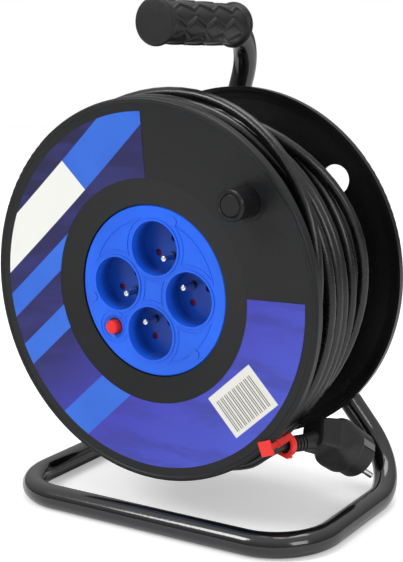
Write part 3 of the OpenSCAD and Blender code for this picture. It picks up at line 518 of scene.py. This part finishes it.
class Recipe:
    """One material under construction: principled shader, helper nodes, output."""

    def __init__(self, name, **fixed):
        self.material = bpy.data.materials.new(name)
        self.material.use_nodes = True
        self.tree = self.material.node_tree
        self.shader = self.tree.nodes["Principled BSDF"]
        for key, value in fixed.items():
            self.shader.inputs[key.replace("_", " ")].default_value = value

    def node(self, kind, settings=None, *inputs, out=0, **named):
        """Makes a node: settings first (a ramp's stops among them), then inputs in order and by name."""
        made = self.tree.nodes.new(kind)
        for key, value in (settings or {}).items():
            if key == "stops":
                ramp = made.color_ramp.elements
                while len(ramp) < len(value):
                    ramp.new(0.5)
                for element, (position, colour) in zip(ramp, value):
                    element.position, element.color = position, (*colour, 1) if len(colour) == 3 else colour
            else:
                setattr(made, key, value)
        enabled = [s for s in made.inputs if s.enabled]
        by_name = [(self.socket(enabled, k), v) for k, v in named.items()]
        for socket, value in [*zip(enabled, inputs), *by_name]:
            self.feed(socket, value)
        return Value(self, [s for s in made.outputs if s.enabled][out])

    def socket(self, sockets, name):
        return next(s for s in sockets if s.name == name.replace("_", " "))

    def feed(self, socket, value):
        if isinstance(value, Value):
            self.tree.links.new(value.socket, socket)
        elif value is not None:
            if isinstance(value, tuple) and len(value) == 3 and socket.type == "RGBA":
                value = (*value, 1)
            socket.default_value = value

    def set(self, **varying):
        """Links a varying value to the shader's Base Color, Roughness and so on."""
        for key, value in varying.items():
            self.feed(self.shader.inputs[key.replace("_", " ")], value)
        return self.material

    def mix(self, share, first, second):
        """A colour between first and second."""
        return self.node("ShaderNodeMix", dict(data_type="RGBA"), share, first, second)

    def place(self, kind="Object"):
        coordinates = self.node("ShaderNodeTexCoord")
        return Value(self, coordinates.socket.node.outputs[kind])

    def noise(self, scale, detail=2.0, rough=0.5, at=None, stretch=None):
        """Noise from 0 to 1 at `scale` spots a metre, on object coordinates unless told otherwise."""
        at = at or self.place()
        if stretch:
            at = self.node("ShaderNodeMapping", None, at, Scale=stretch)
        return self.node("ShaderNodeTexNoise", None, at, Scale=scale, Detail=detail, Roughness=rough)

    def steps(self, value, low, high):
        """0 below low, 1 above high, with a soft change between."""
        return self.node("ShaderNodeMapRange", dict(interpolation_type="SMOOTHSTEP"), value, low, high)

    def bump(self, height, depth, strength=1.0, normal=None):
        made = self.node("ShaderNodeBump", None, Strength=strength, Distance=depth, Height=height)
        if normal:
            self.feed(made.socket.node.inputs["Normal"], normal)
        return made


def paint(recipe_material, *nodes):
    """Gives CAD nodes or new pieces a material in every slot."""
    for node in nodes:
        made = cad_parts[node] if isinstance(node, str) else node
        if not made.data.materials:
            made.data.materials.append(recipe_material)
        for k in range(len(made.data.materials)):
            made.data.materials[k] = recipe_material


print("material helpers ready")

# %% [markdown]
# ## Moulded plastic
#
# Most of the reel is moulded plastic. What tells it from a flat colour is
# small: a faint orange-peel skin from the mould, patches a little duller than
# others where hands have been, fine scuffs, and dust that lightens it in
# spots. One recipe makes all of them from a colour and a gloss, and it can
# also paint shade into the colour of deep recesses.


# %% Plastic, from black to blue
def plastic(name, colour, rough, grain=0.00004, scuff=0.25, coat=0.0, shade=None):
    """Moulded plastic: noise patches in colour, noise and scratches in roughness, mould grain in normal.

    shade (y0, y1, deep) paints shade into the colour: between two depths it
    deepens to that share of itself, as the shade in a narrow recess would."""
    m = Recipe(name, Specular_IOR_Level=0.28, Coat_Weight=coat, Coat_Roughness=0.2)
    patches = m.noise(14.0, 4.0)
    dust = m.steps(m.noise(260.0, 5.0, 0.65), 0.52, 0.82)
    pale = tuple(c * 0.8 + 0.2 * (0.35 + 0.4 * c) for c in colour)
    deep = tuple(c * 0.82 for c in colour)
    tone = m.mix(m.steps(patches, 0.3, 0.7), deep, colour)
    tone = m.mix(dust * scuff * 0.5, tone, pale)
    if shade:
        # Painted shade: the colour darkens with depth, where a recess would be in shade.
        depth_here = Value(m, m.node("ShaderNodeSeparateXYZ", None, m.place()).socket.node.outputs["Y"])
        tone = m.mix(m.steps(depth_here, *shade[:2]), tone, tuple(c * shade[2] for c in colour))
    scratches = m.steps(m.noise(900.0, 2.0, 0.6, stretch=(1.0, 0.06, 0.35)), 0.62, 0.75)
    roughness = rough + (patches - 0.5) * 0.16 + dust * 0.1 + scratches * scuff * 0.3
    peel = m.noise(1400.0, 3.0, 0.55)
    height = peel - scratches * 0.3
    return m.set(Base_Color=tone, Roughness=roughness, Normal=m.bump(height, grain))


# %% [markdown]
# ## Metals
#
# The pins, strap and screws are plated: zinc is a cloudy grey and nickel is
# brighter. Under a lens both show faint brushing and small tarnished spots.


# %% Zinc, nickel and brass
def metal(name, colour, rough, brushed=(1.0, 1.0, 14.0), tarnish=0.3, shaded_foot=None):
    """Plated metal: stretched noise for brushing in roughness and normal, spots of tarnish in colour.

    The foot argument (y0, y1) says between which depths painted shade darkens the plating to a dark blue."""
    m = Recipe(name, Metallic=1.0)
    spots = m.steps(m.noise(420.0, 4.0, 0.6), 0.5, 0.78)
    brush = m.noise(700.0, 3.0, 0.6, stretch=brushed)
    dull = tuple(c * 0.55 for c in colour)
    tone = m.mix(spots * tarnish, m.mix(brush, tuple(c * 0.9 for c in colour), colour), dull)
    if shaded_foot:
        depth_here = Value(m, m.node("ShaderNodeSeparateXYZ", None, m.place()).socket.node.outputs["Y"])
        # Painted shade at the foot of each pin, deep in its well: a dark blue in place of the plating.
        tone = m.mix(m.steps(depth_here, *shaded_foot), tone, (0.02, 0.03, 0.07))
    roughness = rough + brush * 0.16 + spots * 0.2
    return m.set(Base_Color=tone, Roughness=roughness, Normal=m.bump(brush, 0.00002))


zinc = metal("zinc_plate", (0.62, 0.63, 0.65), 0.22)
nickel = metal("nickel_plate", (0.80, 0.79, 0.77), 0.14, tarnish=0.15)
brass = metal("brass", (0.78, 0.55, 0.22), 0.24)
paint(zinc, "axle_bolt", "axle_nut", "axle_sleeve", "peg_screw")
paint(zinc, "barrel_screws", "plate_screws", "clamp_screws")
# The earth pins get painted shade at their foot.
pin_metal = metal("pin_nickel", (0.80, 0.79, 0.77), 0.14, tarnish=0.15, shaded_foot=(-0.0537, -0.0533))
paint(pin_metal, "earth_pins")
strip_nickel = metal("strip_nickel", (0.40, 0.395, 0.38), 0.26, tarnish=0.4)
paint(nickel, "plug_pins")
paint(strip_nickel, "plug_earth_contacts")
paint(brass, "live_contacts", "neutral_contacts", "earth_strap")

# %% Finishes of the plain moulded parts
flange_black = plastic("flange_black", (0.0105, 0.011, 0.012), 0.40, grain=0.00005)
rear_black = plastic("rear_flange_black", (0.006, 0.006, 0.0065), 0.30)
# The socket plate gets painted shade in its wells, darker towards their floors.
socket_blue = plastic("socket_blue", (0.014, 0.135, 0.86), 0.30, scuff=0.08, shade=(-0.0665, -0.056, 0.42))
dark_carrier = plastic("contact_carrier", (0.02, 0.02, 0.022), 0.5)
nylon = plastic("washer_nylon", (0.55, 0.54, 0.50), 0.45)
button_red = plastic("button_red", (0.80, 0.022, 0.020), 0.28, scuff=0.15)
clip_red = plastic("clip_red", (0.86, 0.036, 0.030), 0.34, scuff=0.15)
shutter_red = plastic("shutter_red", (0.25, 0.012, 0.012), 0.4)
cap_blue = plastic("screw_cap_blue", (0.020, 0.135, 0.80), 0.34, scuff=0.12)
knob_black = plastic("knob_black", (0.009, 0.009, 0.010), 0.28, grain=0.00003)
peg_grey = plastic("peg_black", (0.012, 0.012, 0.013), 0.34)
paint(flange_black, "front_flange")
paint(rear_black, "rear_flange", "hub_bush")
paint(socket_blue, "socket_plate")
paint(cap_blue, "screw_caps")
paint(dark_carrier, "contact_carrier", "cable_clamp", "thermal_cutout")
paint(nylon, "thrust_washers")
paint(button_red, "reset_button")
paint(clip_red, "cable_clip")
paint(shutter_red, "shutter_top", "shutter_bottom", "shutter_left", "shutter_right")
paint(knob_black, "crank_knob")
paint(peg_grey, "crank_peg", "hub_plate")
print("materials so far:", len(bpy.data.materials))

# %% [markdown]
# ## Rubber cable
#
# The cable has a black rubber sheath. It is satin rather than shiny, so each
# strand shows one soft light streak along its top, broken where it is dusty
# or rubbed.

# %% Rubber sheath
rubber = Recipe("cable_rubber", IOR=1.5)
rubbed = rubber.noise(60.0, 4.0, 0.6)
talc = rubber.steps(rubber.noise(700.0, 4.0, 0.7), 0.5, 0.8)
tone = rubber.mix(rubber.steps(rubbed, 0.35, 0.7), (0.003, 0.003, 0.0035), (0.008, 0.008, 0.009))
tone = rubber.mix(talc * 0.22, tone, (0.10, 0.10, 0.10))
ripple = rubber.noise(1100.0, 2.0, 0.5)
cable_rubber = rubber.set(
    Base_Color=tone,
    Roughness=0.20 + rubbed * 0.16 + talc * 0.12,
    Normal=rubber.bump(ripple + rubbed * 0.5, 0.00004),
)
paint(cable_rubber, cable)

# %% Frame paint
enamel = Recipe("frame_enamel", Coat_Weight=0.6, Coat_Roughness=0.05, IOR=1.5)
peel = enamel.noise(330.0, 2.0, 0.5)
chips = enamel.steps(enamel.noise(240.0, 6.0, 0.7), 0.73, 0.76)
cloud = enamel.noise(9.0, 3.0)
tone = enamel.mix(cloud, (0.002, 0.002, 0.0024), (0.005, 0.005, 0.0058))
tone = enamel.mix(chips * 0.6, tone, (0.16, 0.15, 0.14))
frame_enamel = enamel.set(
    Base_Color=tone,
    Roughness=0.12 + cloud * 0.10 + chips * 0.3,
    Normal=enamel.bump(peel - chips * 0.6, 0.00008),
)
paint(frame_enamel, tube, "frame_tube")
paint(plastic("grip_black", (0.016, 0.016, 0.017), 0.45), grip, "hand_grip")
paint(plastic("relief_black", (0.020, 0.020, 0.021), 0.42), plug, "strain_relief", "plug_body")

# %% [markdown]
# ## The printed label
#
# The label is a glossy film on the cone of the front flange. It has a generic
# print: navy at the top that turns violet towards the bottom, slanted bands in
# pale blue and white, and a white field with plain bars. Two numbers place all
# of it: `across` counts millimetres square to the slant, `along` with it.

# %% The label's print
print_m = Recipe("label_print", Specular_IOR_Level=0.3, Coat_Weight=0.06, Coat_Roughness=0.1)
spot = print_m.node("ShaderNodeSeparateXYZ", None, print_m.place())
east = spot * 1000
north = Value(print_m, spot.socket.node.outputs["Z"]) * 1000 - AXLE_Z
across = east * 0.669 - north * 0.743
along = east * 0.743 + north * 0.669


def band(value, low, high, soft=0.35):
    """1 between low and high, with an edge as soft as print."""
    return print_m.steps(value, low - soft, low + soft) * (1 - print_m.steps(value, high - soft, high + soft))


fade = (across + 150) / 290 + (print_m.noise(22.0, 3.0) - 0.5) * 0.12
streak = print_m.steps(print_m.noise(30.0, 3.0, 0.6, stretch=(0.5, 1.0, 2.2)), 0.42, 0.66)
NAVY, DARK_BLUE = (0.010, 0.009, 0.050), (0.014, 0.012, 0.11)
VIOLET, LIGHT_VIOLET = (0.046, 0.044, 0.42), (0.058, 0.085, 0.54)
stops = [(0.0, NAVY), (0.42, DARK_BLUE), (0.68, VIOLET), (1.0, LIGHT_VIOLET)]
ground = print_m.node("ShaderNodeValToRGB", dict(stops=stops), fade)
ground = print_m.mix(streak * 0.45, ground, (0.030, 0.030, 0.20))
low_part = 1 - print_m.steps(along, -22, -20)
past_white = print_m.steps(along, 7.6, 8.2)
top_band = band(across, -122, -93)
pale_bands = (band(across, -80, -64) + band(across, -43, -26)) * low_part
pale_bands = pale_bands + band(across, 20, 47) + top_band * past_white
pale_blue = print_m.mix(print_m.noise(18.0, 2.0), (0.018, 0.10, 0.55), (0.035, 0.17, 0.74))
tone = print_m.mix(pale_bands, ground, pale_blue)
tone = print_m.mix(top_band * (1 - past_white), tone, (0.80, 0.80, 0.76))
slant = (east - 81) * 0.706 + (north + 72.5) * 0.708
down = (east - 81) * 0.648 - (north + 72.5) * 0.76
field = band(slant, -23.5, 23.5) * band(down, -18, 18)
bars_value = print_m.node("ShaderNodeMath", dict(operation="SINE"), slant * 2.9)
bars_value = bars_value + print_m.node("ShaderNodeMath", dict(operation="SINE"), slant * 4.3 + 1.0)
bars = print_m.steps(bars_value, 0.2, 0.5) * band(slant, -20, 20) * band(down, -12, 15)
tone = print_m.mix(field, tone, print_m.mix(bars, (0.74, 0.73, 0.68), (0.045, 0.043, 0.04)))
film = print_m.noise(90.0, 3.0)
label_print = print_m.set(Base_Color=tone, Roughness=0.28 + film * 0.14, Normal=print_m.bump(film, 0.00003))
paint(label_print, "label")

# %% [markdown]
# ## Floor and light
#
# A white floor under a white world. What only the camera and the reflections
# see is white, so the background is white, while the light that falls on the
# reel stays at a plain level and leaves a soft grey shadow.

# %% Floor
floor_mesh = bpy.data.meshes.new("floor")
span = np.array([[-3, -3, 0], [3, -3, 0], [3, 3, 0], [-3, 3, 0]], float)
floor_mesh.from_pydata((span - [0, 0, 0.0002]).tolist(), [], [(0, 1, 2, 3)])
floor = bpy.data.objects.new("floor", floor_mesh)
bpy.context.scene.collection.objects.link(floor)
paper = Recipe("floor_paper", Roughness=0.9)
speck = paper.noise(500.0, 3.0)
paper.set(Base_Color=paper.mix(speck, (0.80, 0.80, 0.80), (0.84, 0.84, 0.84)))
glow = paper.node("ShaderNodeEmission", None, (1.0, 1.0, 1.0), Strength=0.36)
both = paper.node("ShaderNodeAddShader", None, Value(paper, paper.shader.outputs[0]), glow)
seen = paper.node("ShaderNodeLightPath")
pick = paper.node("ShaderNodeMixShader", None, seen, Value(paper, paper.shader.outputs[0]), both)
paper.tree.links.new(pick.socket, paper.tree.nodes["Material Output"].inputs["Surface"])
paint(paper.material, floor)

# %% World and lamps
world = bpy.data.worlds.new("studio")
bpy.context.scene.world = world
world.use_nodes = True
tree = world.node_tree
soft = tree.nodes["Background"]
soft.inputs["Color"].default_value = (1, 1, 1, 1)
sky = tree.nodes.new("ShaderNodeTexCoord")
height = tree.nodes.new("ShaderNodeSeparateXYZ")
level = tree.nodes.new("ShaderNodeMapRange")
tree.links.new(sky.outputs["Generated"], height.inputs[0])
tree.links.new(height.outputs["Z"], level.inputs[0])
for socket, value in zip(level.inputs[1:5], (-0.1, 0.9, 0.10, 0.95)):
    socket.default_value = value
tree.links.new(level.outputs[0], soft.inputs["Strength"])
white = tree.nodes.new("ShaderNodeBackground")
white.inputs["Color"].default_value = (1, 1, 1, 1)
white.inputs["Strength"].default_value = 1.0
path_kind = tree.nodes.new("ShaderNodeLightPath")
chosen = tree.nodes.new("ShaderNodeMixShader")
tree.links.new(path_kind.outputs["Is Camera Ray"], chosen.inputs[0])
tree.links.new(soft.outputs[0], chosen.inputs[1])
tree.links.new(white.outputs[0], chosen.inputs[2])
tree.links.new(chosen.outputs[0], tree.nodes["World Output"].inputs["Surface"])


def softbox(name, at, watts, size):
    """A square area lamp that looks at the middle of the reel."""
    lamp = bpy.data.objects.new(name, bpy.data.lights.new(name, "AREA"))
    lamp.data.energy, lamp.data.size = watts, size
    aim = (Vector((0, 0, 0.2)) - Vector(at)).to_track_quat("-Z", "Y")
    lamp.matrix_world = Matrix.Translation(at) @ aim.to_matrix().to_4x4()
    bpy.context.scene.collection.objects.link(lamp)


softbox("key", (-0.9, -1.4, 1.5), 19, 0.7)
softbox("fill", (1.7, -0.8, 0.9), 9, 0.8)
softbox("top", (0.1, 0.3, 1.9), 14, 1.0)
bpy.context.scene.view_settings.view_transform = "Standard"

# %% Finish
tuple(on_reel(polar(BARREL_R, START, -54.0)))
